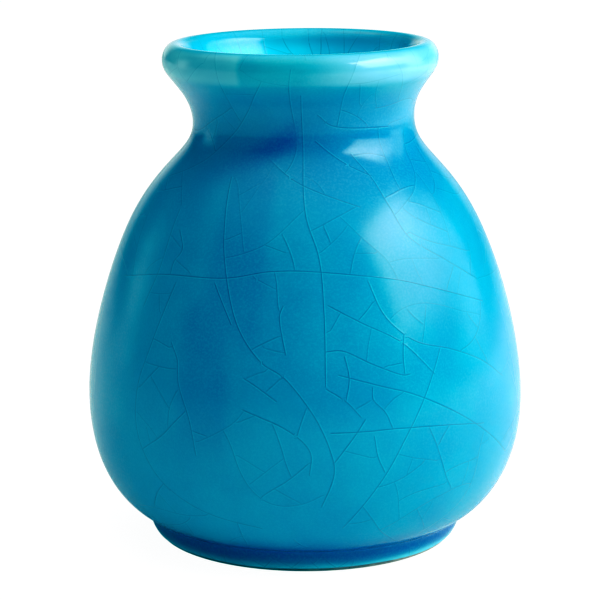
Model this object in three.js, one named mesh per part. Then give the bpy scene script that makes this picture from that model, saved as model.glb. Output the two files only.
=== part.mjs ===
// A glazed earthenware bud vase: a rolled lip, a short waisted neck, an egg-shaped body and a turned foot.
//
// The clay pot is one piece, as it came off the wheel. Over it lie four coats of glaze, each laid on in its
// own step: the inside is filled and poured out, the outside is dipped, the lip is dipped again, and the
// hollow under the foot is brushed. The ring that the vase stands on is wiped bare.
//
// Millimetres, +Z up. The origin is the centre of the ring that the foot stands on.
import * as THREE from "three";

// Driving dimensions. Radii and heights are those of the finished, glazed surface.
const HEIGHT = 120;
const FOOT_RADIUS = 36; // where the bare ring meets the table
const FOOT_SLOPES = { table: 50, crease: 84 }; // degrees above the horizontal: the foot's wall swells a little
const CREASE_RADIUS = 38.2; // where the foot meets the body
const CREASE_HEIGHT = 5.3;
const CREASE_REACH = 1.2; // how far the rounding of the crease runs each way
const BODY_SLOPE = 28; // degrees above the horizontal, where the body leaves the crease
const BELLY_RADIUS = 52.7;
const BELLY_HEIGHT = 34.5;
const SHOULDER_RADIUS = 41.3;
const SHOULDER_HEIGHT = 78.8;
const SHOULDER_SLOPE = 118;
const WAIST_RADIUS = 26.5; // the neck's narrowest place
const WAIST_HEIGHT = 101.5;
const LIP_CENTRE_RADIUS = 29.7;
const LIP_HALF_WIDTH = 3.2;
const LIP_HALF_HEIGHT = 4;

// The coat over the lip, in degrees around the lip's own section, from its outer underside to its inner side.
const LIP_START = -23;
const LIP_CREST = 90;
const LIP_END = 160;

const WALL = 4.5; // from the glazed outside to the glazed inside
const GLAZE = 0.5;
const FLOOR_HEIGHT = 8; // the inside floor at its centre
const BARE_FOOT = 0.6; // how far above the table the glaze stops
const RING_WIDTH = 5; // the bare ring, across
const RING_BEVEL = 0.4;
const RECESS_DEPTH = 3.2; // the glazed hollow inside the ring
const RECESS_SLOPE = 1.6; // how far the hollow's wall leans in

// How far the outline runs on in its own direction, on each side of a place, before it bends away.
const FOOT_PULLS = { table: 1.4, crease: 1.5 };
const CREASE_PULL = 8.5;
const BELLY_PULLS = { below: 15.2, above: 15.2 };
const SHOULDER_PULLS = { below: 10.7, above: 15.3 };
const WAIST_PULLS = { below: 7.5, above: 6.8 };
const LIP_PULLS = { outside: 3.1, inside: 4.5 };
const INNER_WAIST_PULL = 6.5;
const FLOOR_PULLS = { edge: 5, centre: 22 };

// Facets around the axis, the same on every piece, so that the pieces meet face to face.
const SEGMENTS = 40;

const CLAY = { colour: 0xb9a58c, roughness: 0.8 };
const TURQUOISE = { colour: 0x0098c4, roughness: 0.12 };
const PALE_TURQUOISE = { colour: 0x12aede, roughness: 0.12 };
const GREEN_TURQUOISE = { colour: 0x27b0bd, roughness: 0.12 };

const degrees = THREE.MathUtils.degToRad;
const at = (radius, height) => new THREE.Vector2(radius, height);
const UP = at(0, 1);
const DOWN = at(0, -1);
const INWARDS = at(-1, 0);

/** The direction at an angle above the horizontal, pointing away from the axis. */
function heading(angle) {
  return at(Math.cos(degrees(angle)), Math.sin(degrees(angle)));
}

/** A curve that leaves one point in a direction and arrives at another in a direction. */
function cubic(from, leaving, leavingPull, to, arriving, arrivingPull) {
  return new THREE.CubicBezierCurve(
    from,
    from.clone().addScaledVector(leaving, leavingPull),
    to.clone().addScaledVector(arriving, -arrivingPull),
    to,
  );
}

/** A place on a curve: its point, and the direction into the clay, which lies to the left of travel. */
function place(curve, share) {
  const along = curve.getTangent(share);
  return { point: curve.getPoint(share), inwards: at(-along.y, along.x) };
}

/** Places along a curve, without its first, which is the last of the curve before. */
function places(curve, steps) {
  return Array.from({ length: steps }, (_, i) => place(curve, (i + 1) / steps));
}

/** The points that lie so deep under the surface at each place. */
function underneath(list, depth) {
  return list.map(({ point, inwards }) => point.clone().addScaledVector(inwards, depth));
}

/** The wall's inner face behind a curve of the outside, travelled back down. */
function innerFace(curve, steps) {
  return Array.from({ length: steps }, (_, i) => {
    const { point, inwards } = place(curve, 1 - (i + 1) / steps);
    return { point: point.addScaledVector(inwards, WALL), inwards: inwards.clone().negate() };
  });
}

// ---- The outside, from the foot up to the lip ----
const footSlope = heading(FOOT_SLOPES.table);
const glazeEdge = at(FOOT_RADIUS, 0).addScaledVector(footSlope, BARE_FOOT / footSlope.y);
const footTopSlope = heading(FOOT_SLOPES.crease);
const bodySlope = heading(BODY_SLOPE);
const shoulderSlope = heading(SHOULDER_SLOPE);
const crease = at(CREASE_RADIUS, CREASE_HEIGHT);
const belly = at(BELLY_RADIUS, BELLY_HEIGHT);
const shoulder = at(SHOULDER_RADIUS, SHOULDER_HEIGHT);
const waist = at(WAIST_RADIUS, WAIST_HEIGHT);

const creaseStart = crease.clone().addScaledVector(footTopSlope, -CREASE_REACH);
const creaseEnd = crease.clone().addScaledVector(bodySlope, CREASE_REACH);
const footWall = cubic(
  glazeEdge, footSlope, FOOT_PULLS.table, creaseStart, footTopSlope, FOOT_PULLS.crease,
);
const creaseRound = new THREE.QuadraticBezierCurve(creaseStart, crease, creaseEnd);
const lowerBody = cubic(creaseEnd, bodySlope, CREASE_PULL, belly, UP, BELLY_PULLS.below);
const upperBody = cubic(belly, UP, BELLY_PULLS.above, shoulder, shoulderSlope, SHOULDER_PULLS.below);
const neck = cubic(shoulder, shoulderSlope, SHOULDER_PULLS.above, waist, UP, WAIST_PULLS.below);

// ---- The lip, rolled over from its outer underside to its inner side ----
function lipArc(from, to) {
  const height = HEIGHT - LIP_HALF_HEIGHT;
  const start = degrees(from);
  const end = degrees(to);
  return new THREE.EllipseCurve(LIP_CENTRE_RADIUS, height, LIP_HALF_WIDTH, LIP_HALF_HEIGHT, start, end);
}
const lipOutside = lipArc(LIP_START, LIP_CREST);
const lipInside = lipArc(LIP_CREST, LIP_END);
const lipFoot = place(lipOutside, 0);
const lipFootSlope = lipOutside.getTangent(0);
const flare = cubic(waist, UP, WAIST_PULLS.above, lipFoot.point, lipFootSlope, LIP_PULLS.outside);

// ---- The inside, from the lip down to the floor ----
const lipBrink = place(lipInside, 1);
const lipBrinkSlope = lipInside.getTangent(1);
const innerWaist = at(WAIST_RADIUS - WALL, WAIST_HEIGHT);
const innerFlare = cubic(
  lipBrink.point, lipBrinkSlope, LIP_PULLS.inside, innerWaist, DOWN, INNER_WAIST_PULL,
);
const [floorStart] = underneath([place(lowerBody, 0)], WALL);
const floorCentre = at(0, FLOOR_HEIGHT);
const floor = cubic(
  floorStart, bodySlope.clone().negate(), FLOOR_PULLS.edge, floorCentre, INWARDS, FLOOR_PULLS.centre,
);

// The whole finished surface, in travelling order, in the coats that cover it. A coat's first place is the
// last of the coat before, so that the two meet face to face.
const outside = [
  place(footWall, 0),
  ...places(footWall, 3),
  ...places(creaseRound, 2),
  ...places(lowerBody, 7),
  ...places(upperBody, 6),
  ...places(neck, 6),
  ...places(flare, 5),
];
const lip = [outside.at(-1), ...places(lipOutside, 6), ...places(lipInside, 4)];
const inside = [
  lip.at(-1),
  ...places(innerFlare, 5),
  ...innerFace(neck, 5),
  ...innerFace(upperBody, 5),
  ...innerFace(lowerBody, 6),
  ...places(floor, 4),
];

// ---- Under the foot, from the centre out: the finished hollow, and the clay behind its glaze ----
const ringInner = FOOT_RADIUS - RING_WIDTH;
const recessCentre = at(0, RECESS_DEPTH);
const recessCorner = at(ringInner - RECESS_SLOPE, RECESS_DEPTH);
const recessEdge = recessCorner.clone().lerp(at(ringInner, 0), 1 - BARE_FOOT / RECESS_DEPTH);

const clayRecess = [
  recessCentre.clone().add(at(0, GLAZE)),
  recessCorner.clone().add(at(GLAZE, GLAZE)),
  recessEdge.clone().add(at(GLAZE, 0)),
];
const bareRing = [
  at(ringInner, RING_BEVEL),
  at(ringInner + RING_BEVEL, 0),
  at(FOOT_RADIUS - RING_BEVEL, 0),
  at(FOOT_RADIUS, RING_BEVEL),
];

/** A named piece turned from an outline that keeps the solid on its left. */
function turned(name, outline, { colour, roughness }) {
  const geometry = new THREE.LatheGeometry(outline, SEGMENTS);
  geometry.rotateX(Math.PI / 2);
  const material = new THREE.MeshStandardMaterial({ color: colour, roughness, metalness: 0 });
  const mesh = new THREE.Mesh(geometry, material);
  mesh.name = name;
  return mesh;
}

/** A coat over some of the surface: its face, and its underside back to where it began. */
function coat(name, list, finish) {
  const face = list.map(({ point }) => point);
  const back = underneath(list, GLAZE).reverse();
  const reachesAxis = face.at(-1).x === 0;
  const outline = reachesAxis ? [...back, ...face] : [...face, ...back, face[0]];
  return turned(name, outline, finish);
}

function clayBody() {
  const surface = [...outside, ...lip.slice(1), ...inside.slice(1)];
  const outline = [...clayRecess, ...bareRing, ...underneath(surface, GLAZE)];
  return turned("clay_body", outline, CLAY);
}

function recessGlaze() {
  const outline = [recessCentre, recessCorner, recessEdge, ...clayRecess.toReversed()];
  return turned("recess_glaze", outline, TURQUOISE);
}

const vase = new THREE.Group();
vase.add(
  clayBody(),
  coat("outer_glaze", outside, TURQUOISE),
  coat("lip_glaze", lip, GREEN_TURQUOISE),
  coat("inner_glaze", inside, PALE_TURQUOISE),
  recessGlaze(),
);

export default vase;
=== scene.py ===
"""A bud vase in turquoise crackle glaze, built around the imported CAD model.

The clay pot and each coat of glaze get a fine turned mesh in place of the CAD's faceted solid. All of them
are cut from one surface, so that they stay in touch: the outline of the CAD, turned, and then made slightly
uneven, as hands leave it. The craze lines are grown over that surface one crack at a time, and the meshes
keep them as distances, from which the glaze's material draws them.

The script's own lengths are millimetres. Azimuth 0 faces the camera, and azimuth grows to the right.
"""
import math
from collections import defaultdict

import bpy
import numpy as np
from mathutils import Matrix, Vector
from mathutils.kdtree import KDTree


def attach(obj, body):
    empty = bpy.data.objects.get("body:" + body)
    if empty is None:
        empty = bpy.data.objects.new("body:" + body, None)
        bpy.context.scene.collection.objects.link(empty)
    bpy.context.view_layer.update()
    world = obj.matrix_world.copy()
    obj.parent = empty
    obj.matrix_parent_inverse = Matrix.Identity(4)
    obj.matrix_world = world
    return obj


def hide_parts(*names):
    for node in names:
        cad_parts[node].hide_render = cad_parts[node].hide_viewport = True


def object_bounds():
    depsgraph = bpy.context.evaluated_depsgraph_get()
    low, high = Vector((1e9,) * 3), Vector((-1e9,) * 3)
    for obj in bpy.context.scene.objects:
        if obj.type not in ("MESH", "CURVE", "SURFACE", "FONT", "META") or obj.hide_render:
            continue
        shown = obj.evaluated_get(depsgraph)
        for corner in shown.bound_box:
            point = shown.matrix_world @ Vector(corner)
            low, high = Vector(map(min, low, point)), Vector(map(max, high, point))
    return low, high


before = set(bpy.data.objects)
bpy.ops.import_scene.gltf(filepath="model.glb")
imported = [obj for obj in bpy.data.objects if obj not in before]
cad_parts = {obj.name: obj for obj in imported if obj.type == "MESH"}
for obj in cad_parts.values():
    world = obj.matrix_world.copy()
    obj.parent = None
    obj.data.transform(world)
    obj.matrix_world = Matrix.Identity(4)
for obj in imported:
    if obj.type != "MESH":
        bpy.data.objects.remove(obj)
cad_box = [list(corner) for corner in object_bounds()]

MM = 0.001
CAD_HIGH = np.array(cad_box[1]) / MM

# ---- Driving dimensions: the finished, glazed surface ----
HEIGHT = CAD_HIGH[2]
BELLY_RADIUS = CAD_HIGH[0]
BELLY_HEIGHT = 34.5
FOOT_RADIUS = 36
CREASE_RADIUS, CREASE_HEIGHT, CREASE_REACH = 38.2, 5.3, 1.2
FOOT_SLOPES = (50, 84)  # the foot's wall swells a little between the table and the crease
SHOULDER_RADIUS, SHOULDER_HEIGHT = 41.3, 78.8
WAIST_RADIUS, WAIST_HEIGHT = 26.5, 101.5
LIP_RADIUS, LIP_HALF_WIDTH, LIP_HALF_HEIGHT = 29.7, 3.2, 4
LIP_START, LIP_END = -23, 160
BODY_SLOPE, SHOULDER_SLOPE = 28, 118
WALL = 4.5
GLAZE = 0.5
FLOOR_HEIGHT = 8
BARE_FOOT = 0.6  # how far above the table the hollow's glaze stops
RING_WIDTH, RING_BEVEL = 5, 0.4
RECESS_DEPTH, RECESS_SLOPE = 3.2, 1.6

# How far the outline runs on in its own direction, on each side of a place, before it bends away.
FOOT_PULLS = (2, 1.5)
CREASE_PULL = 8.5
BELLY_PULLS = (15.2, 15.2)
SHOULDER_PULLS = (10.7, 15.3)
WAIST_PULLS = (7.5, 6.8)
LIP_PULLS = (3.1, 4.5)
INNER_WAIST_PULL = 6.5
FLOOR_PULLS = (5, 22)

# How far apart the rows of points are along each stretch of the outline.
SPACING = {
    "foot_wall": 0.3,
    "crease": 0.25,
    "lower_body": 0.8,
    "upper_body": 0.9,
    "neck": 0.75,
    "flare": 0.5,
    "lip": 0.22,
    "inner_flare": 0.5,
    "inner_neck": 0.8,
    "inner_upper": 1.6,
    "inner_lower": 2,
    "floor": 2.5,
}

# ---- What hands and the kiln did to it ----
LEAN = -1.1  # how far off the axis the lip ended up
LEAN_FROM, LEAN_TO = 94, 114
LIP_TILT = 0.3 / LIP_RADIUS
OVAL, THREE_SIDED = 0.0012, 0.0009
WAVER, WAVER_SIZE = 0.07, 17
GLAZE_STOPS = 0.45  # how far above the table the outside's glaze stops, on average
GLAZE_EDGE_WAVE = 0.22
ROLL = 0.9  # how far in from its edge the glaze comes up to its full thickness

SEGMENTS = 384
SEED = 7


# ---- The outline ----
def heading(angle):
    """The direction at an angle above the horizontal, pointing away from the axis."""
    return np.array([math.cos(math.radians(angle)), math.sin(math.radians(angle))])


UP, DOWN, INWARDS = np.array([0, 1.0]), np.array([0, -1.0]), np.array([-1.0, 0])


def cubic(start, leaving, leaving_pull, end, arriving, arriving_pull):
    """A curve that leaves one point in a direction and arrives at another in a direction."""
    t = np.linspace(0, 1, 200)[:, None]
    first, last = start + leaving * leaving_pull, end - arriving * arriving_pull
    return (1 - t) ** 3 * start + 3 * (1 - t) ** 2 * t * first + 3 * (1 - t) * t * t * last + t**3 * end


def spaced(points, spacing):
    """The same line with points a chosen distance apart."""
    along = np.r_[0, np.cumsum(np.linalg.norm(np.diff(points, axis=0), axis=1))]
    steps = np.linspace(0, along[-1], max(2, math.ceil(along[-1] / spacing) + 1))
    return np.c_[np.interp(steps, along, points[:, 0]), np.interp(steps, along, points[:, 1])]


def outwards(points):
    """The direction out of the clay at each point of a line that has the clay on its left."""
    along = np.gradient(points, axis=0)
    along /= np.linalg.norm(along, axis=1)[:, None]
    return np.c_[along[:, 1], -along[:, 0]]


def finished_outline():
    """The stretches of the glazed surface from the foot's edge, over the lip, to the floor's centre."""
    foot = np.array([FOOT_RADIUS, 0.0])
    crease = np.array([CREASE_RADIUS, CREASE_HEIGHT])
    slope, shoulder_slope = heading(BODY_SLOPE), heading(SHOULDER_SLOPE)
    foot_top = heading(FOOT_SLOPES[1])
    crease_start, crease_end = crease - foot_top * CREASE_REACH, crease + slope * CREASE_REACH
    foot_wall = cubic(foot, heading(FOOT_SLOPES[0]), FOOT_PULLS[0], crease_start, foot_top, FOOT_PULLS[1])
    belly = np.array([BELLY_RADIUS, BELLY_HEIGHT])
    shoulder = np.array([SHOULDER_RADIUS, SHOULDER_HEIGHT])
    waist = np.array([WAIST_RADIUS, WAIST_HEIGHT])

    t = np.linspace(0, 1, 60)[:, None]
    crease_round = (1 - t) ** 2 * crease_start + 2 * (1 - t) * t * crease + t * t * crease_end
    lower_body = cubic(crease_end, slope, CREASE_PULL, belly, UP, BELLY_PULLS[0])
    upper_body = cubic(belly, UP, BELLY_PULLS[1], shoulder, shoulder_slope, SHOULDER_PULLS[0])
    neck = cubic(shoulder, shoulder_slope, SHOULDER_PULLS[1], waist, UP, WAIST_PULLS[0])

    turn = np.radians(np.linspace(LIP_START, LIP_END, 300))
    lip_height = HEIGHT - LIP_HALF_HEIGHT
    lip = np.c_[LIP_RADIUS + LIP_HALF_WIDTH * np.cos(turn), lip_height + LIP_HALF_HEIGHT * np.sin(turn)]
    first, last = lip[1] - lip[0], lip[-1] - lip[-2]
    flare = cubic(waist, UP, WAIST_PULLS[1], lip[0], first / np.linalg.norm(first), LIP_PULLS[0])
    inner_waist = waist + INWARDS * WALL
    inner_flare = cubic(
        lip[-1], last / np.linalg.norm(last), LIP_PULLS[1], inner_waist, DOWN, INNER_WAIST_PULL
    )
    inner_neck, inner_upper, inner_lower = (
        (line - outwards(line) * WALL)[::-1] for line in (neck, upper_body, lower_body)
    )
    floor_centre = np.array([0, FLOOR_HEIGHT])
    floor = cubic(inner_lower[-1], -slope, FLOOR_PULLS[0], floor_centre, INWARDS, FLOOR_PULLS[1])
    lines = (
        foot_wall, crease_round, lower_body, upper_body, neck, flare, lip,
        inner_flare, inner_neck, inner_upper, inner_lower, floor,
    )
    return {name: spaced(line, step) for (name, step), line in zip(SPACING.items(), lines)}


class Skin:
    """The finished surface, by the distance s along its outline and the azimuth around it."""

    def __init__(self, stretches):
        self.ends = {}
        joined = []
        for name, line in stretches.items():
            joined.extend(line if not joined else line[1:])
            self.ends[name] = len(joined) - 1
        self.line = np.array(joined)
        self.normals = outwards(self.line)
        self.s = np.r_[0, np.cumsum(np.linalg.norm(np.diff(self.line, axis=0), axis=1))]
        self.end = {name: self.s[i] for name, i in self.ends.items()}
        foot = slice(self.ends["foot_wall"] + 1)
        self.glaze_edge = float(np.interp(GLAZE_STOPS, self.line[foot, 1], self.s[foot]))

    def radius(self, s):
        return np.interp(s, self.s, self.line[:, 0])

    def height(self, s):
        return np.interp(s, self.s, self.line[:, 1])

    def rows(self, first, last):
        """The outline's own distances between two of them, both included."""
        inner = self.s[(self.s > first + 1e-6) & (self.s < last - 1e-6)]
        return np.r_[first, inner, last]

    def points(self, s, azimuth, depth=0.0):
        """The places so deep under the surface, as (..., 3) arrays, before thrown() makes them uneven."""
        radius = self.radius(s) - np.interp(s, self.s, self.normals[:, 0]) * depth
        height = self.height(s) - np.interp(s, self.s, self.normals[:, 1]) * depth
        return np.stack([radius * np.sin(azimuth), -radius * np.cos(azimuth), height + 0 * azimuth], -1)


def smooth(value, start, end):
    """0 below start, 1 above end, and a smooth rise between them."""
    t = np.clip((value - start) / (end - start), 0, 1)
    return t * t * (3 - 2 * t)


def thrown(points):
    """The unevenness of a hand-thrown pot, the same for the clay and for every coat over it.

    The waves' phases and lengths have no meaning of their own: they only keep the waves from lining up.
    """
    x, y, z = np.moveaxis(points, -1, 0)
    azimuth = np.arctan2(x, -y)
    swell = OVAL * np.sin(2 * azimuth + 0.6 + z / 70) + THREE_SIDED * np.sin(3 * azimuth + 2.1 - z / 45)
    waver = WAVER * np.sin(z / WAVER_SIZE * 2 + azimuth) * np.sin(2 * azimuth + z / WAVER_SIZE)
    radius = np.maximum(np.hypot(x, y), 1e-6)
    grown = 1 + swell + waver / np.maximum(radius, 20)
    lean = smooth(z, LEAN_FROM, LEAN_TO)
    return np.stack([x * grown + LEAN * lean, y * grown, z + LIP_TILT * lean * x], -1)


skin = Skin(finished_outline())
AZIMUTHS = np.linspace(0, 2 * math.pi, SEGMENTS, endpoint=False)


# ---- Turned meshes ----
def skin_normals(s, azimuth):
    """The uneven surface's own normals, which are the same on both sides of a seam between two coats."""
    turn, reach = 0.005, 0.15  # how far from each place its neighbours are taken, around and along
    around = thrown(skin.points(s, azimuth + turn)) - thrown(skin.points(s, azimuth - turn))
    along = thrown(skin.points(s + reach, azimuth)) - thrown(skin.points(s - reach, azimuth))
    normals = np.cross(around, along)
    return normals / np.maximum(np.linalg.norm(normals, axis=-1, keepdims=True), 1e-12)


def turned(name, rows, closed):
    """A piece through rows of points around the axis, and the number of each point in it, row by row.

    A row on the axis becomes one point. Closed means that the last row joins the first; otherwise both ends
    are on the axis.
    """
    points, index = [], []
    for row in rows:
        on_axis = np.ptp(row[:, :2], axis=0).max() < 1e-6
        first = len(points)
        points.extend(row[:1] if on_axis else row)
        index.append([first] * SEGMENTS if on_axis else list(range(first, first + SEGMENTS)))
    pairs = list(zip(index, index[1:])) + ([(index[-1], index[0])] if closed else [])
    faces = []
    for low, high in pairs:
        for j in range(SEGMENTS):
            k = (j + 1) % SEGMENTS
            face = (low[j], low[k], high[k], high[j])
            faces.append(tuple(dict.fromkeys(face)))
    mesh = bpy.data.meshes.new(name)
    mesh.from_pydata([tuple(p * MM) for p in points], [], faces)
    mesh.polygons.foreach_set("use_smooth", [True] * len(mesh.polygons))
    piece = bpy.data.objects.new(name, mesh)
    bpy.context.scene.collection.objects.link(piece)
    return piece, np.array(index)


def stand_in(piece, node, material):
    """The piece takes a CAD node's place and finish."""
    piece.data.materials.append(material)
    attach(piece, "root")
    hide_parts(node)


# ---- Craze lines ----
STEP = 0.7  # how far apart the points of a crack are
HIT = 0.75  # how near to another crack it has to come to run into it
HAND_STRENGTH, RUNNER_STRENGTH, LIP_STRENGTH, BRANCH_STRENGTHS = 0.9, 0.8, 0.7, (0.4, 0.8)
RUNNERS, RUNNER_LENGTH = 26, 80
LIP_CRACKS = 27
CELLS_AND_TRIES = ((12, 3000), (7.5, 12000), (5.4, 16000))

# How a crack wanders: how it may bend at its start, how much of its bend a step keeps, and how much is new.
FIRST_BEND, BEND_KEPT, NEW_BEND = 0.045, 0.9, 0.021

# The long cracks of the front, as (azimuth in degrees, height) of given places, rounded.
LONG_CRACKS = (
    ((0, 111), (-1, 95), (0, 85), (4, 76), (5, 65), (5, 48)),
    ((-32, 92), (-28, 83), (-25, 75), (-19, 62), (-12, 54), (-5, 50), (2, 42), (6, 34), (7, 28), (4, 20)),
    ((-66, 67), (-45, 70), (-24, 71), (-10, 73), (4, 73), (24, 71), (38, 68), (60, 62)),
    ((18, 71), (22, 63), (30, 57), (41, 54), (52, 50), (63, 44)),
    ((6, 66), (15, 62), (26, 57), (35, 49)),
    ((8, 51), (19, 48), (29, 45), (42, 39), (56, 31), (66, 25)),
    ((38, 55), (31, 44), (25, 35), (20, 27), (10, 14)),
    ((22, 97), (28, 92), (31, 86), (35, 79), (47, 73), (60, 67)),
    ((-17, 96), (-2, 91), (20, 86)),
    ((-49, 84), (-48, 72), (-51, 62)),
    ((-40, 69), (-45, 54), (-48, 44), (-47, 33), (-40, 23), (-28, 17), (-12, 14)),
    ((-16, 43), (-5, 39), (1, 34), (1, 28)),
    ((5, 48), (10, 45), (14, 41)),
    ((6, 38), (16, 38), (24, 38), (38, 37), (52, 35)),
    ((5, 56), (10, 56), (17, 53), (25, 50), (28, 50)),
    ((10, 55), (11, 50), (10, 45)),
    ((7, 31), (12, 37), (15, 41)),
    ((-16, 50), (-12, 48), (-7, 45)),
    ((-38, 56), (-35, 52), (-34, 47), (-30, 39), (-28, 31)),
    ((-27, 70), (-23, 65), (-20, 61)),
    ((-6, 66), (-7, 63), (-5, 55)),
    ((17, 48), (17, 45), (20, 42), (22, 38)),
    ((17, 37), (18, 32), (20, 28)),
    ((27, 59), (26, 54), (26, 50)),
    ((-43, 70), (-43, 73), (-41, 76), (-45, 80)),
    ((7, 106), (17, 103), (48, 102)),
    ((5, 100), (18, 95), (29, 92)),
)


class Network:
    """Cracks as chains of points (azimuth, s), found again by where they are."""

    CELL = 6.0  # the side of the cubes that points are filed under
    TABLE_STEP = 0.25

    def __init__(self):
        self.cracks = []
        self.cells = defaultdict(list)
        self.random = np.random.default_rng(SEED)
        table = np.arange(0, skin.s[-1], self.TABLE_STEP)
        self.radii = skin.radius(table).tolist()
        self.heights = skin.height(table).tolist()

    def row(self, s):
        """Where to look in the tables, one place away from both of their ends at least."""
        return min(max(int(s / self.TABLE_STEP), 1), len(self.radii) - 2)

    def place(self, azimuth, s):
        i = min(int(s / self.TABLE_STEP), len(self.radii) - 1)
        return self.radii[i] * math.sin(azimuth), -self.radii[i] * math.cos(azimuth), self.heights[i]

    def add(self, chain, strength):
        number = len(self.cracks)
        self.cracks.append((chain, strength))
        for i, (azimuth, s) in enumerate(chain):
            p = self.place(azimuth, s)
            self.cells[tuple(int(c // self.CELL) for c in p)].append((p, number, i))

    def around(self, p, reach):
        """(distance squared, crack, point) of every point within reach."""
        x, y, z = (int(c // self.CELL) for c in p)
        for i in (x - 1, x, x + 1):
            for j in (y - 1, y, y + 1):
                for k in (z - 1, z, z + 1):
                    for q, number, at in self.cells.get((i, j, k), ()):
                        d = (p[0] - q[0]) ** 2 + (p[1] - q[1]) ** 2 + (p[2] - q[2]) ** 2
                        if d < reach * reach:
                            yield d, number, at

    def grow(self, azimuth, s, angle, longest, parent=None):
        """A crack from a place at an angle to the meridian, and the number of the one that it ran into.

        The number is None where it ran off the glaze, and -1 where it just ended.
        """
        chain = [(azimuth, s)]
        bend = self.random.normal(0, FIRST_BEND)
        for step in range(int(longest / STEP)):
            i = self.row(s)
            radius = max(self.radii[i], 1)
            spread = (self.radii[i + 1] - self.radii[i - 1]) / (2 * self.TABLE_STEP) / radius
            bend = BEND_KEPT * bend + self.random.normal(0, NEW_BEND)
            angle += STEP * (bend - spread * math.sin(angle))
            azimuth += STEP * math.sin(angle) / radius
            s += STEP * math.cos(angle)
            if not skin.glaze_edge < s < skin.end["inner_lower"]:
                return chain, None
            p = self.place(azimuth, s)
            near = [n for n in self.around(p, HIT) if not (n[1] == parent and step < 3)]
            if near:
                _, number, at = min(near)
                hit = self.cracks[number][0][at]
                turns = round((azimuth - hit[0]) / (2 * math.pi))
                chain.append((hit[0] + turns * 2 * math.pi, hit[1]))
                return chain, number
            chain.append((azimuth, s))
        return chain, -1

    def clear(self, chain, reach, joined):
        """Whether a chain keeps away from every crack but those that it joins."""
        return not any(
            number not in joined
            for point in chain
            for _, number, _ in self.around(self.place(*point), reach)
        )

    def branch(self, size, tries):
        """Cracks that start square to others and end at the next one, so that cells of a size are left."""
        clearance, shortest, longest = 0.5 * size, 0.8 * size, 9 * size
        for _ in range(tries):
            number = int(self.random.integers(len(self.cracks)))
            parent = self.cracks[number][0]
            if len(parent) < 4:
                continue
            at = int(self.random.integers(1, len(parent) - 1))
            (a0, s0), (a1, s1) = parent[at - 1], parent[at + 1]
            along = math.atan2((a1 - a0) * self.radii[self.row(parent[at][1])], s1 - s0)
            side = math.pi / 2 if self.random.random() < 0.5 else -math.pi / 2
            if not self.clear([parent[at]], clearance, (number,)):
                continue
            angle = along + side + self.random.normal(0, 0.32)
            chain, met = self.grow(*parent[at], angle, longest, number)
            if met == -1 or len(chain) * STEP <= shortest:
                continue
            if self.clear(chain, clearance, (number, met)):
                self.add(chain, float(self.random.uniform(*BRANCH_STRENGTHS)))


def by_hand(waypoints):
    """A smooth chain through places given as (azimuth, height) on the outside."""
    outside = skin.line[: skin.ends["lip"]]
    corners = np.array([
        (math.radians(azimuth), np.interp(height, outside[:, 1], skin.s[: skin.ends["lip"]]))
        for azimuth, height in waypoints
    ])
    padded = np.vstack([2 * corners[0] - corners[1], corners, 2 * corners[-1] - corners[-2]])
    chain = []
    for p0, p1, p2, p3 in zip(padded, padded[1:], padded[2:], padded[3:]):
        length = math.hypot((p2[0] - p1[0]) * skin.radius(p1[1]), p2[1] - p1[1])
        for t in np.arange(0, 1, STEP / max(length, STEP)):
            chain.append(tuple(0.5 * (
                2 * p1 + (p2 - p0) * t + (2 * p0 - 5 * p1 + 4 * p2 - p3) * t**2
                + (3 * p1 - p0 - 3 * p2 + p3) * t**3
            )))
    return chain + [tuple(corners[-1])]


def over_the_lip(net):
    """Cracks that go over the lip and down both of its sides."""
    for turn in range(LIP_CRACKS):
        azimuth = 2 * math.pi * (turn + net.random.uniform(-0.35, 0.35)) / LIP_CRACKS
        start = skin.end["lip"] - net.random.uniform(-1, 4)
        down_inside, down_outside = net.random.uniform(8, 24), net.random.uniform(2, 9)
        for angle, longest in ((0, down_inside), (math.pi, down_outside)):
            angle += net.random.normal(0, 0.25)
            chain, _ = net.grow(azimuth, start, angle, longest, len(net.cracks) - 1)
            if len(chain) > 3:
                net.add(chain, LIP_STRENGTH)


def crazed():
    """The whole network: long cracks first, then smaller and smaller cells between them."""
    net = Network()
    for waypoints in LONG_CRACKS:
        net.add(by_hand(waypoints), HAND_STRENGTH)
    over_the_lip(net)
    for _ in range(RUNNERS):
        azimuth, s = net.random.uniform(0, 2 * math.pi), net.random.uniform(10, skin.end["inner_neck"])
        angle = net.random.normal(0, 0.6) + math.pi * net.random.integers(2)
        chain, _ = net.grow(azimuth, s, angle, RUNNER_LENGTH)
        if len(chain) > 12:
            net.add(chain, RUNNER_STRENGTH)
    for size, tries in CELLS_AND_TRIES:
        net.branch(size, tries)
    return net


CHANNELS = 6
APART = 2.3  # how far apart two cracks in one channel are, so that their distances don't mix
NEAR = 0.8  # how far from a crack's points its distances are used
NO_CRACK = (9.0, 9.0, 0.0)


def channels_of(net):
    """Which channel each crack's distances go in. One that would need a channel too many is left out."""
    channel = {}
    order = sorted(range(len(net.cracks)), key=lambda n: (-net.cracks[n][1], n))
    for number in order:
        taken = set()
        for point in net.cracks[number][0]:
            taken.update(channel.get(other) for _, other, _ in net.around(net.place(*point), APART))
        free = [c for c in range(CHANNELS) if c not in taken]
        if free:
            channel[number] = free[0]
    return channel


def crack_points(net, numbers):
    """Every point of some cracks: its place, the crack's direction, which end it is, and the strength."""
    samples = []
    for number in numbers:
        chain, strength = net.cracks[number]
        chain = np.array(chain)
        line = skin.points(chain[:, 1], chain[:, 0])
        along = np.gradient(line, axis=0)
        along /= np.maximum(np.linalg.norm(along, axis=1)[:, None], 1e-9)
        end = np.zeros(len(line))
        end[0], end[-1] = -1, 1
        samples.append(np.c_[line, along, end, np.full(len(line), strength)])
    return np.vstack(samples)


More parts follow.
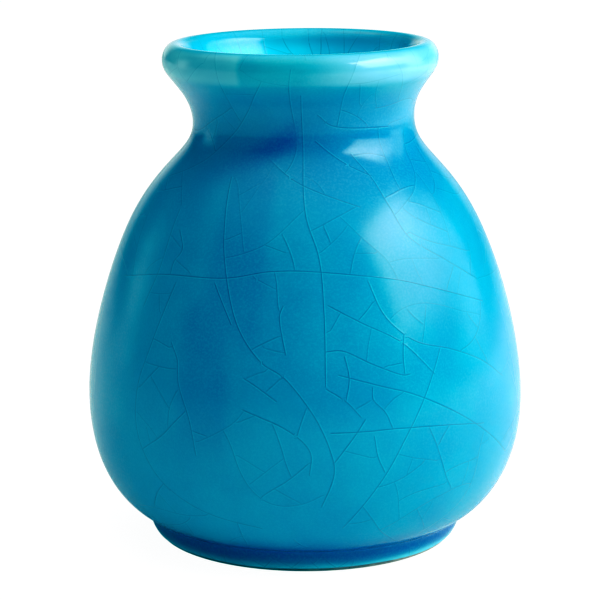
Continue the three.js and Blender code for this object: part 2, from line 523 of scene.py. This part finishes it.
def distances(net, s, azimuth):
    """How each grid place lies to the nearest crack of each channel.

    That is the distance across the crack, how far outside the crack's reach the place is, and how strong
    the crack is. The distance is positive on its lower or right side, which the studio's light shows up.
    """
    channel = channels_of(net)
    places = skin.points(s, azimuth).reshape(-1, 3)
    outward = skin.points(s, azimuth, -1).reshape(-1, 3) - places
    rightwards = np.stack([np.cos(azimuth), np.sin(azimuth), 0 * azimuth], -1).reshape(-1, 3)
    downwards = np.cross(rightwards, outward)
    lit_side = 0.8 * rightwards + 0.6 * downwards
    fields = []
    for c in range(CHANNELS):
        numbers = [number for number in range(len(net.cracks)) if channel.get(number) == c]
        if not numbers:
            fields.append(np.tile(NO_CRACK, (len(places), 1)))
            continue
        data = crack_points(net, numbers)
        tree = KDTree(len(data))
        for i, row in enumerate(data):
            tree.insert(row[:3], i)
        tree.balance()
        nearest = data[[tree.find(p)[1] for p in places]]
        apart, along, end = places - nearest[:, :3], nearest[:, 3:6], nearest[:, 6]
        sideways = np.cross(outward, along)
        across = (apart * sideways).sum(1) * np.where((sideways * lit_side).sum(1) > 0, 1, -1)
        beyond = np.where(end == 0, -1, (apart * along).sum(1) * end)
        far = np.linalg.norm(apart, axis=1) - NEAR
        fields.append(np.c_[across, np.maximum(beyond, far), nearest[:, 7]])
    return fields


# ---- How the glaze lies, and the shade, light and reflections painted into it ----
TURQUOISE = (0.0, 0.28, 0.465)
# The deep blue of pooled glaze, which also paints the shade and dark reflections on the glaze
DEEP_POOL_AND_SHADE = (0.0, 0.075, 0.31)
# Paler at the glaze's lower edge: thinner glaze, and painted light from the table below
THIN_EDGE_AND_BOUNCE = (0.17, 0.80, 0.96)
GREENISH = (0.03, 0.41, 0.52)
# Pale tones painted on the lip's two sides: painted reflections of the studio's lights
LIP_RIGHT_HIGHLIGHT = (0.25, 0.60, 0.76)
LIP_LEFT_REFLECTION = (0.22, 0.62, 0.68)
LIP_CREST = (0.03, 0.44, 0.63)
# The inside's glaze, painted much lighter than the outside's to stand in for light falling into the mouth
INSIDE_PAINTED_BRIGHT = (0.015, 0.72, 1.0)
WORN = (0.40, 0.42, 0.38)


def blend(colours, colour, share):
    """The colours, moved a share of the way to another one."""
    return colours + (np.array(colour) - colours) * share[..., None]


def band(value, start, end, soft_start, soft_end):
    """1 between two values, fading to 0 over a soft distance outside each of them."""
    return smooth(value, start - soft_start, start) * (1 - smooth(value, end, end + soft_end))


def wrapped(angle):
    """The same direction as an angle between half a turn to the left and half a turn to the right."""
    return (angle + math.pi) % (2 * math.pi) - math.pi


def drifting(azimuth):
    """A waver from -1 to 1 around the vase, which keeps the glaze's bounds from being true circles."""
    return 0.5 * np.sin(3 * azimuth + 1) + 0.3 * np.sin(7 * azimuth + 2) + 0.2 * np.sin(16 * azimuth)


def over_the_rim(colours, s, azimuth, drift):
    """The colours with those of the lip's and the inside's coats in them, and the share of the lip's coat.

    The lip's coat is greener below, has painted reflections of the studio's lights on two sides, and is worn
    at its brink.
    """
    start, end = skin.end["flare"], skin.end["lip"]
    crest = band(s, start + 4.5, end - 1, 2.5, 4)
    green = band(s, start + 1.5, start + 4, 10 + drift, 2.5)
    colours = blend(colours, LIP_CREST, crest)
    # The inside's coat, its colour painted lighter to stand in for light
    colours = blend(colours, INSIDE_PAINTED_BRIGHT, smooth(s, end - 2, end + 3))
    colours = blend(colours, GREENISH, green)
    facing = wrapped(azimuth)
    # Painted reflection of the light card on the left, painted highlight of the key on the right
    left, right = band(facing, -1.4, -0.48, 0.5, 0.06), band(facing, 0.45, 1.9, 0.5, 0.6)
    lip_reflection_band = band(s, start - 0.5, start + 4.5, 2.5, 2.5) * (1 + 0.25 * drift)
    colours = blend(colours, LIP_LEFT_REFLECTION, 0.95 * left * lip_reflection_band)
    colours = blend(colours, LIP_RIGHT_HIGHLIGHT, 0.85 * right * lip_reflection_band)
    brink = np.exp(-(((s - end + 2.3) / 0.4) ** 2)) * (0.25 + 0.2 * drift + 0.3 * np.cos(azimuth - 0.6))
    return blend(colours, WORN, np.clip(brink, 0, 1)), np.maximum(green, crest)


def pooled_and_shaded(s, azimuth, drift):
    """How deep the glaze's colour goes, from 0 to 1, where the glaze lies thick and where shade is painted.

    Over its lower edge it is pooled glaze, with painted shade under the belly. In the neck's hollow, and
    in a stroke that slopes down from there to the left of the front, it is painted shade and dark
    reflection. Two darker streaks go down the body below that stroke.
    """
    waist = skin.end["neck"]
    # Pooled glaze over the foot's edge, darkened with painted shade under the belly
    foot_from = skin.glaze_edge + 4.2 + 0.5 * drift
    foot_to = skin.end["foot_wall"] + 2.2 + 0.5 * drift
    foot = band(s, foot_from, foot_to, 3.2, 8 + 2 * drift)
    # Painted shade in the neck's hollow
    hollow = np.exp(-(((s - waist + 5) / 15) ** 2)) * (0.34 + 0.1 * drift)
    # A painted stroke of shade and dark reflection, sloping down to the left of the front
    left_of = np.degrees(-wrapped(azimuth)) - 7
    shade_stroke_at = waist - 1 - 0.26 * np.clip(left_of, -15, 70)
    width = 3.8 + 0.03 * np.clip(left_of, 0, 50)
    shade_stroke = np.exp(-(((s - shade_stroke_at) / width) ** 2)) * band(left_of, 0, 13, 9, 40)
    height = skin.height(s)
    # Two darker streaks down the body
    upper_streak = band(wrapped(azimuth + 0.36), -0.1, 0.1, 0.12, 0.1) * band(height, 62, 90, 12, 6)
    lower_streak = band(wrapped(azimuth + 0.46), -0.07, 0.07, 0.12, 0.08) * band(height, 38, 62, 9, 9)
    streaks = np.maximum(upper_streak, lower_streak) * (s < skin.end["flare"])
    return np.clip(foot + hollow + 0.62 * shade_stroke + 0.25 * streaks, 0, 1)


def glaze_tones_and_shade(s, azimuth):
    """The glaze's colour at each place, painted shade, light and reflections included, and a mask from 0 to 1
    of where the glaze lies thick and where shade is painted.
    """
    drift = drifting(azimuth)
    colours = np.broadcast_to(TURQUOISE, s.shape + (3,))
    colours, second_dip = over_the_rim(colours, s, azimuth, drift)
    # Thinner glaze at the lower edge, painted paler still with light from the table
    thin_and_lit = 1 - smooth(s, skin.glaze_edge + 0.6, skin.glaze_edge + 3)
    # Pooled glaze and painted shade
    thickness_and_shade = pooled_and_shaded(s, azimuth, drift)
    colours = blend(blend(colours, THIN_EDGE_AND_BOUNCE, thin_and_lit), DEEP_POOL_AND_SHADE, thickness_and_shade)
    return colours, np.maximum(thickness_and_shade, 0.6 * second_dip)


def add_field(piece, name, usual, numbers=(), values=()):
    """Keeps a vector at each of the piece's points: the usual one, or its value at a numbered point."""
    field = np.tile(np.array(usual, dtype=np.float32), (len(piece.data.vertices), 1))
    if len(numbers):
        field[numbers] = values
    attribute = piece.data.attributes.new(name, "FLOAT_VECTOR", "POINT")
    attribute.data.foreach_set("vector", field.ravel())


def glaze_over(piece, numbers, s, azimuth, net):
    """Gives a coat's face its cracks, its tones with the painted shade, light and reflections among them,
    and the smooth surface's normals.

    The mesh's own normals stay where the coat rolls in at its edge, and at the floor's centre.
    """
    numbers = numbers.ravel()
    for c, field in enumerate(distances(net, s, azimuth)):
        add_field(piece, f"craze_{c}", NO_CRACK, numbers, field)
    colours, thickness_and_shade = glaze_tones_and_shade(s, azimuth)
    add_field(piece, "tint", TURQUOISE, numbers, colours.reshape(-1, 3))
    # Where the glaze lies thick and where shade is painted
    add_field(piece, "thick_and_shaded", (0, 0, 0), numbers, thickness_and_shade.reshape(-1, 1) * [1, 0, 0])
    mesh = piece.data
    normals = np.zeros(3 * len(mesh.vertices), dtype=np.float32)
    mesh.vertices.foreach_get("normal", normals)
    normals = normals.reshape(-1, 3)
    smooth_ones = skin_normals(s, azimuth).reshape(-1, 3)
    past_edge = s.ravel() > skin.glaze_edge + ROLL + 0.5
    known = past_edge & (np.linalg.norm(smooth_ones, axis=1) > 0.5)
    normals[numbers[known]] = smooth_ones[known]
    mesh.normals_split_custom_set_from_vertices(normals.tolist())


EDGE_ROWS = 9
UNDER_STEP = 5  # the outside coat's hidden side keeps one row in so many


def outer_coat(net, material):
    """The dipped outside, which ends above the foot in a wavy, rolled edge."""
    wave = np.sin(2 * AZIMUTHS + 1) + 0.6 * np.sin(5 * AZIMUTHS) + 0.3 * np.sin(11 * AZIMUTHS + 2)
    turn = np.linspace(0, math.pi / 2, EDGE_ROWS)
    edge = skin.glaze_edge + ROLL * (1 - np.cos(turn))
    rest = skin.rows(edge[-1], skin.end["flare"])[1:]
    rows = np.r_[edge, rest]
    thickness = np.r_[np.sin(turn), np.ones(len(rest))]
    fade = 1 - smooth(rows, skin.glaze_edge, skin.glaze_edge + 3)
    s = rows[:, None] + GLAZE_EDGE_WAVE * fade[:, None] * wave
    azimuth = np.broadcast_to(AZIMUTHS, s.shape)
    bottom = thrown(skin.points(s, azimuth, GLAZE))
    face = bottom + (thrown(skin.points(s, azimuth)) - bottom) * thickness[:, None, None]
    under = bottom[:0:-UNDER_STEP]
    piece, numbers = turned("glaze_outside", [*face, *under], True)
    glaze_over(piece, numbers[: len(face)], s, azimuth, net)
    stand_in(piece, "outer_glaze", material)


def lip_coat(net, material):
    """The second dip over the rolled lip, between the outside's coat and the inside's."""
    s, azimuth = np.meshgrid(skin.rows(skin.end["flare"], skin.end["lip"]), AZIMUTHS, indexing="ij")
    face = thrown(skin.points(s, azimuth))
    under = thrown(skin.points(s, azimuth, GLAZE))[::-1]
    piece, numbers = turned("glaze_lip", [*face, *under], True)
    glaze_over(piece, numbers[: len(face)], s, azimuth, net)
    stand_in(piece, "lip_glaze", material)


def inner_coat(net, material):
    """The poured inside, from the lip down to the floor's centre."""
    s, azimuth = np.meshgrid(skin.rows(skin.end["lip"], skin.s[-1]), AZIMUTHS, indexing="ij")
    face = thrown(skin.points(s, azimuth))
    every_other = [*range(len(s) - 1, 0, -2), 0]
    under = thrown(skin.points(s, azimuth, GLAZE))[every_other]
    piece, numbers = turned("glaze_inside", [*under, *face], False)
    glaze_over(piece, numbers[-len(face):], s, azimuth, net)
    stand_in(piece, "inner_glaze", material)


def rings(radius_heights):
    """Rows around the axis through (radius, height) points."""
    return [
        thrown(np.c_[r * np.sin(AZIMUTHS), -r * np.cos(AZIMUTHS), np.full(SEGMENTS, z)])
        for r, z in radius_heights
    ]


def quarter(centre, radius, start):
    """A quarter turn of an edge's rounding, from an angle in degrees, anticlockwise."""
    turn = np.radians(start + np.linspace(0, 90, 6))
    return [(centre[0] + radius * math.cos(a), centre[1] + radius * math.sin(a)) for a in turn]


RING_INNER = FOOT_RADIUS - RING_WIDTH
RECESS_CORNER = (RING_INNER - RECESS_SLOPE, RECESS_DEPTH)
RECESS_EDGE = (RING_INNER - RECESS_SLOPE * BARE_FOOT / RECESS_DEPTH, BARE_FOOT)
RECESS_TOP = (0, RECESS_DEPTH + GLAZE)  # where the clay begins, over the hollow's centre
RECESS_CORNER_BACK = (RECESS_CORNER[0] + GLAZE, RECESS_DEPTH + GLAZE)
RECESS_EDGE_BACK = (RECESS_EDGE[0] + GLAZE, BARE_FOOT)


def recess_coat(material):
    """The brushed glaze in the hollow under the foot."""
    halfway = RECESS_CORNER[0] / 2
    face = [(0, RECESS_DEPTH), (halfway, RECESS_DEPTH), RECESS_CORNER, RECESS_EDGE]
    back = [RECESS_EDGE_BACK, RECESS_CORNER_BACK, (halfway, RECESS_DEPTH + GLAZE), RECESS_TOP]
    piece, _ = turned("glaze_under_foot", rings(face + back), False)
    add_field(piece, "tint", TURQUOISE)
    stand_in(piece, "recess_glaze", material)


def clay_pot(material):
    """The pot under its glaze: only the ring that it stands on shows."""
    hollow = [RECESS_TOP, RECESS_CORNER_BACK, RECESS_EDGE_BACK]
    ring = quarter((RING_INNER + RING_BEVEL, RING_BEVEL), RING_BEVEL, 180)
    ring += quarter((FOOT_RADIUS - RING_BEVEL, RING_BEVEL), RING_BEVEL, -90)
    fine = skin.rows(skin.glaze_edge, skin.end["crease"])
    coarse = skin.rows(skin.end["crease"], skin.s[-1])[3::3]
    rows = np.unique(np.r_[fine, coarse, skin.s[-1]])
    s, azimuth = np.meshgrid(rows, AZIMUTHS, indexing="ij")
    piece, _ = turned("clay_pot", [*rings(hollow + ring), *thrown(skin.points(s, azimuth, GLAZE))], False)
    stand_in(piece, "clay_body", material)


# ---- Materials ----
CRACK = (0.34, 0.41, 0.52, 1)  # what a crack's darkness multiplies the glaze's colour by
CRACK_GLOW = (0.015, 0.12, 0.15, 1)  # what the light beside it adds
GRAIN_PALE = (0.25, 0.6, 0.7, 1)
MOTTLE_SIZE, GRAIN_SIZE, RIPPLE_SIZE = 14, 0.5, 5
# The second roughness is where the glaze lies thick and where shade is painted
GLAZE_ROUGHNESS, THICK_AND_SHADED_ROUGHNESS = 0.2, 0.1
GLAZE_RELIEF = 0.07  # how high the bumps of the glaze can be
RIPPLED, GRAINY, LIFTED = 0.2, 0.05, 0.22  # the shares of that height
CLAY = (0.42, 0.31, 0.22, 1)
CLAY_DARK = (0.20, 0.14, 0.10, 1)
SAND_SIZE, STAIN_SIZE, PORE_SIZE = 0.35, 6, 0.4
CLAY_RELIEF = 0.08


class Nodes:
    """A few short ways to add nodes to a tree."""

    def __init__(self, tree):
        self.tree = tree

    def add(self, kind, inputs=(), **settings):
        node = self.tree.nodes.new(kind)
        for name, value in settings.items():
            setattr(node, name, value)
        for socket, value in dict(inputs).items():
            self.feed(node.inputs[socket], value)
        return node

    def feed(self, socket, value):
        if isinstance(value, bpy.types.NodeSocket):
            self.tree.links.new(value, socket)
        else:
            socket.default_value = value

    def math(self, operation, a, b=0.0):
        return self.add("ShaderNodeMath", {0: a, 1: b}, operation=operation).outputs[0]

    def ramp(self, value, start, end, low=0.0, high=1.0):
        inputs = {"Value": value, "From Min": start, "From Max": end, "To Min": low, "To Max": high}
        return self.add("ShaderNodeMapRange", inputs, interpolation_type="SMOOTHSTEP").outputs[0]

    def mix(self, factor, a, b, blend="MIX"):
        node = self.add("ShaderNodeMix", {0: factor, 6: a, 7: b}, data_type="RGBA", blend_type=blend)
        return node.outputs[2]

    def noise(self, size, detail=2.0):
        """Noise with features about so many millimetres across, from 0 to 1."""
        place = self.add("ShaderNodeTexCoord").outputs["Object"]
        inputs = {"Vector": place, "Scale": 1 / (size * MM), "Detail": detail}
        return self.add("ShaderNodeTexNoise", inputs).outputs[0]

    def vector(self, name):
        """What the mesh keeps under a name."""
        return self.add("ShaderNodeAttribute", attribute_name=name).outputs["Vector"]

    def field(self, name):
        """The same, as three numbers."""
        return self.add("ShaderNodeSeparateXYZ", {0: self.vector(name)}).outputs


def new_material(name):
    material = bpy.data.materials.new(name)
    material.use_nodes = True
    nodes = Nodes(material.node_tree)
    shader = material.node_tree.nodes["Principled BSDF"]
    return material, nodes, shader


CRACK_EDGES = (0.0, 0.19)  # where a crack's darkness begins to fade, and where it has gone
LIFT_EDGES = (0.0, 0.32)  # the glaze curls up a little on both sides of a crack
GLOW_AT, GLOW_EDGES = 0.26, (0.0, 0.2)  # the light that a crack throws back into the glaze beside it


def craze(nodes):
    """How dark a craze line is at each place, how far the glaze is lifted beside it, and how much light it
    throws back there, from 0 to 1."""
    dark = lifted = glow = 0.0
    for c in range(CHANNELS):
        signed, outside, strength = nodes.field(f"craze_{c}")
        across = nodes.math("ABSOLUTE", signed)
        beside = nodes.math("ABSOLUTE", nodes.math("SUBTRACT", signed, GLOW_AT))
        shown = nodes.math("MULTIPLY", nodes.ramp(outside, -0.3, 0.0, 1.0, 0.0), strength)
        line = nodes.math("MULTIPLY", nodes.ramp(across, *CRACK_EDGES, 1.0, 0.0), shown)
        lift = nodes.math("MULTIPLY", nodes.ramp(across, *LIFT_EDGES, 1.0, 0.0), shown)
        lit = nodes.math("MULTIPLY", nodes.ramp(beside, *GLOW_EDGES, 1.0, 0.0), shown)
        dark, lifted = nodes.math("MAXIMUM", dark, line), nodes.math("MAXIMUM", lifted, lift)
        glow = nodes.math("MAXIMUM", glow, lit)
    return dark, lifted, glow


def glaze_material(name):
    """Crackle glaze: deeper where it has pooled and where shade is painted, lighter where light and
    reflections are painted, greener over the lip, and crazed all over.
    """
    material, nodes, shader = new_material(name)
    tint = nodes.vector("tint")
    # Where the glaze lies thick and where shade is painted, from 0 to 1
    thickness_and_shade = nodes.field("thick_and_shaded")[0]
    line, lifted, glow = craze(nodes)
    mottle = nodes.ramp(nodes.noise(MOTTLE_SIZE, 3.0), 0.3, 0.7)
    grain = nodes.noise(GRAIN_SIZE, 2.0)
    tone = nodes.mix(nodes.math("MULTIPLY", mottle, 0.2), tint, (*DEEP_POOL_AND_SHADE, 1))
    tone = nodes.mix(nodes.ramp(grain, 0.35, 0.75, 0.0, 0.1), tone, GRAIN_PALE)
    seen_through = nodes.ramp(thickness_and_shade, 0.3, 0.8, 1.0, 0.2)
    tone = nodes.mix(nodes.math("MULTIPLY", glow, seen_through), tone, CRACK_GLOW, "SCREEN")
    tone = nodes.mix(nodes.math("MULTIPLY", line, seen_through), tone, CRACK, "MULTIPLY")
    nodes.feed(shader.inputs["Base Color"], tone)
    gloss = nodes.ramp(thickness_and_shade, 0, 0.6, GLAZE_ROUGHNESS, THICK_AND_SHADED_ROUGHNESS)
    gloss = nodes.math("ADD", gloss, nodes.math("MULTIPLY", mottle, 0.04))
    nodes.feed(shader.inputs["Roughness"], nodes.math("ADD", gloss, nodes.math("MULTIPLY", line, 0.1)))
    ripple = nodes.math("MULTIPLY", nodes.noise(RIPPLE_SIZE, 2.0), RIPPLED)
    ripple = nodes.math("ADD", ripple, nodes.math("MULTIPLY", grain, GRAINY))
    height = nodes.math("ADD", ripple, nodes.math("MULTIPLY", lifted, LIFTED))
    bump = nodes.add("ShaderNodeBump", {"Height": height, "Strength": 1.0, "Distance": GLAZE_RELIEF * MM})
    nodes.feed(shader.inputs["Normal"], bump.outputs[0])
    shader.inputs["IOR"].default_value = 1.5
    return material


def clay_material():
    """Bare earthenware: sandy, with darker grains, and rubbed a little darker where it stands."""
    material, nodes, shader = new_material("bare_clay")
    grains = nodes.ramp(nodes.noise(SAND_SIZE, 3.0), 0.55, 0.75)
    stain = nodes.ramp(nodes.noise(STAIN_SIZE, 2.0), 0.35, 0.7, 0.0, 0.6)
    tone = nodes.mix(stain, CLAY, CLAY_DARK)
    tone = nodes.mix(grains, tone, CLAY_DARK)
    nodes.feed(shader.inputs["Base Color"], tone)
    nodes.feed(shader.inputs["Roughness"], nodes.ramp(grains, 0, 1, 0.75, 0.95))
    pores = nodes.noise(PORE_SIZE, 4.0)
    bump = nodes.add("ShaderNodeBump", {"Height": pores, "Distance": CLAY_RELIEF * MM})
    nodes.feed(shader.inputs["Normal"], bump.outputs[0])
    return material


# ---- Studio ----
def aim(thing, place, target):
    thing.location = Vector(place) * MM
    thing.rotation_mode = "QUATERNION"
    thing.rotation_quaternion = (Vector(target) - Vector(place)).to_track_quat("-Z", "Y")


def towards(azimuth, elevation, distance, target):
    """The place seen from a target in a direction: azimuth 0 is towards the camera."""
    a, e = math.radians(azimuth), math.radians(elevation)
    direction = Vector((math.sin(a) * math.cos(e), -math.cos(a) * math.cos(e), math.sin(e)))
    return Vector(target) + distance * direction


MIDDLE = (0, 0, 60)
LIGHT_DISTANCE = 800
USUAL_EDGES = (0.15, 0.15, 0.15, 0.15)


def softbox(name, azimuth, elevation, size, radiance, soft=USUAL_EDGES, dim_below=1.0, shine=True):
    """A rectangle of light that doesn't show in the picture itself.

    Its edges fade over shares of its size, given for its two sides, its bottom and its top. Its lower part
    can be dimmer, and without shine it lights the glaze but isn't mirrored in it.
    """
    width, height = size
    light = bpy.data.lights.new(name, "AREA")
    light.shape = "RECTANGLE"
    light.size, light.size_y = width * MM, height * MM
    light.energy = radiance * math.pi * light.size * light.size_y
    light.use_nodes = True
    nodes = Nodes(light.node_tree)
    place = nodes.add("ShaderNodeNewGeometry").outputs["Parametric"]
    u, v, _ = nodes.add("ShaderNodeSeparateXYZ", {0: place}).outputs
    strength = nodes.ramp(v, 0.25, 0.75, dim_below, 1.0)
    edges = (u, nodes.math("SUBTRACT", 1.0, u), v, nodes.math("SUBTRACT", 1.0, v))
    for edge, share in zip(edges, soft):
        strength = nodes.math("MULTIPLY", strength, nodes.ramp(edge, 0.0, share))
    nodes.feed(light.node_tree.nodes["Emission"].inputs["Strength"], strength)
    lamp = bpy.data.objects.new(name, light)
    bpy.context.scene.collection.objects.link(lamp)
    aim(lamp, towards(azimuth, elevation, LIGHT_DISTANCE, MIDDLE), MIDDLE)
    lamp.visible_camera = False
    lamp.visible_glossy = shine


FLOOR_REACH = 6000
WHITE = 1.08  # bright enough for the floor to come out as white as the background
WHITE_TO_CAMERA, WHITE_TO_VASE = 0.9, 0.035  # how much of the floor is plain white rather than lit


def floor():
    """A white floor, exposed until its shadows are nearly gone, as on a packshot."""
    mesh = bpy.data.meshes.new("studio_floor")
    corners = [(FLOOR_REACH * x, FLOOR_REACH * y, 0) for x, y in ((-1, -1), (1, -1), (1, 1), (-1, 1))]
    mesh.from_pydata([tuple(c * MM for c in corner) for corner in corners], [], [(0, 1, 2, 3)])
    slab = bpy.data.objects.new("studio_floor", mesh)
    bpy.context.scene.collection.objects.link(slab)
    material, nodes, shader = new_material("pale_floor")
    shader.inputs["Base Color"].default_value = (0.82, 0.82, 0.82, 1)
    shader.inputs["Roughness"].default_value = 0.8
    white = nodes.add("ShaderNodeEmission", {"Color": (1, 1, 1, 1), "Strength": WHITE})
    seen = nodes.add("ShaderNodeLightPath").outputs["Is Camera Ray"]
    share = nodes.ramp(seen, 0, 1, WHITE_TO_VASE, WHITE_TO_CAMERA)
    blown_out = nodes.add("ShaderNodeMixShader", {0: share, 1: shader.outputs[0], 2: white.outputs[0]})
    nodes.feed(material.node_tree.nodes["Material Output"].inputs["Surface"], blown_out.outputs[0])
    mesh.materials.append(material)


def surroundings():
    """A white studio to the eye, and a dimmer one to the vase, brighter behind it than in front."""
    world = bpy.data.worlds.new("studio")
    bpy.context.scene.world = world
    world.use_nodes = True
    nodes = Nodes(world.node_tree)
    background = world.node_tree.nodes["Background"]
    direction = nodes.add("ShaderNodeTexCoord").outputs["Generated"]
    x, y, z = nodes.add("ShaderNodeSeparateXYZ", {0: direction}).outputs
    overhead = nodes.ramp(z, 0.55, 1.0, 0.05, 1.7)
    behind = nodes.math("MULTIPLY", nodes.ramp(y, 0.8, 0.95), nodes.ramp(z, 0.5, 0.1))
    lit = nodes.math("MAXIMUM", overhead, behind)
    seen = nodes.add("ShaderNodeLightPath").outputs["Is Camera Ray"]
    strength = nodes.math("MAXIMUM", lit, seen)
    nodes.feed(background.inputs["Strength"], strength)
    background.inputs["Color"].default_value = (1, 1, 1, 1)


CAMERA_TARGET = (-1.2, 0, 57)
CAMERA_DISTANCE = 572
CAMERA_ELEVATION = 12.35
CAMERA_LENS = 141.2


def camera():
    eye = bpy.data.objects.new("camera", bpy.data.cameras.new("camera"))
    bpy.context.scene.collection.objects.link(eye)
    eye.data.lens, eye.data.sensor_width = CAMERA_LENS, 36
    eye.data.clip_start, eye.data.clip_end = 0.01, 50
    aim(eye, towards(0, CAMERA_ELEVATION, CAMERA_DISTANCE, CAMERA_TARGET), CAMERA_TARGET)
    bpy.context.scene.camera = eye


# How bright a colour is, and how bright it is shown.
RED_CURVE = ((0.035, 0.0003), (0.09, 0.006), (0.21, 0.075), (0.41, 0.262), (0.7, 0.63))
GREEN_CURVE = ((0.05, 0.034), (0.2, 0.17), (0.38, 0.375), (0.52, 0.55), (0.7, 0.72))


def deep_colours():
    """No film look, and a toe in the red, which keeps the turquoise as deep as a camera sees it."""
    view = bpy.context.scene.view_settings
    view.view_transform = "Standard"
    view.use_curve_mapping = True
    for curve, places in zip(view.curve_mapping.curves, (RED_CURVE, GREEN_CURVE)):
        for bright, shown in places:
            curve.points.new(bright, shown)
    view.curve_mapping.update()


def lights():
    """A large soft key on the right with two more lights beside it, and a weak card far round on the left."""
    softbox("key", 78, 31, size=(830, 590), radiance=8.2, soft=(0.1, 0.5, 0.15, 0.12), dim_below=0.6)
    softbox("key_side", 106, 20, size=(400, 650), radiance=1.7, soft=(0.3, 0.15, 0.15, 0.25))
    softbox("key_fill", 102, 18, size=(650, 700), radiance=4.0, shine=False)
    softbox("left_card", -112, 8, size=(420, 520), radiance=1.2, soft=(0.45, 0.45, 0.45, 0.45))


def build():
    net = crazed()
    outer_coat(net, glaze_material("turquoise_glaze"))
    lip_coat(net, glaze_material("lip_glaze"))
    inner_coat(net, glaze_material("inside_glaze"))
    recess_coat(glaze_material("recess_glaze"))
    clay_pot(clay_material())
    camera()
    floor()
    surroundings()
    lights()
    deep_colours()


build()
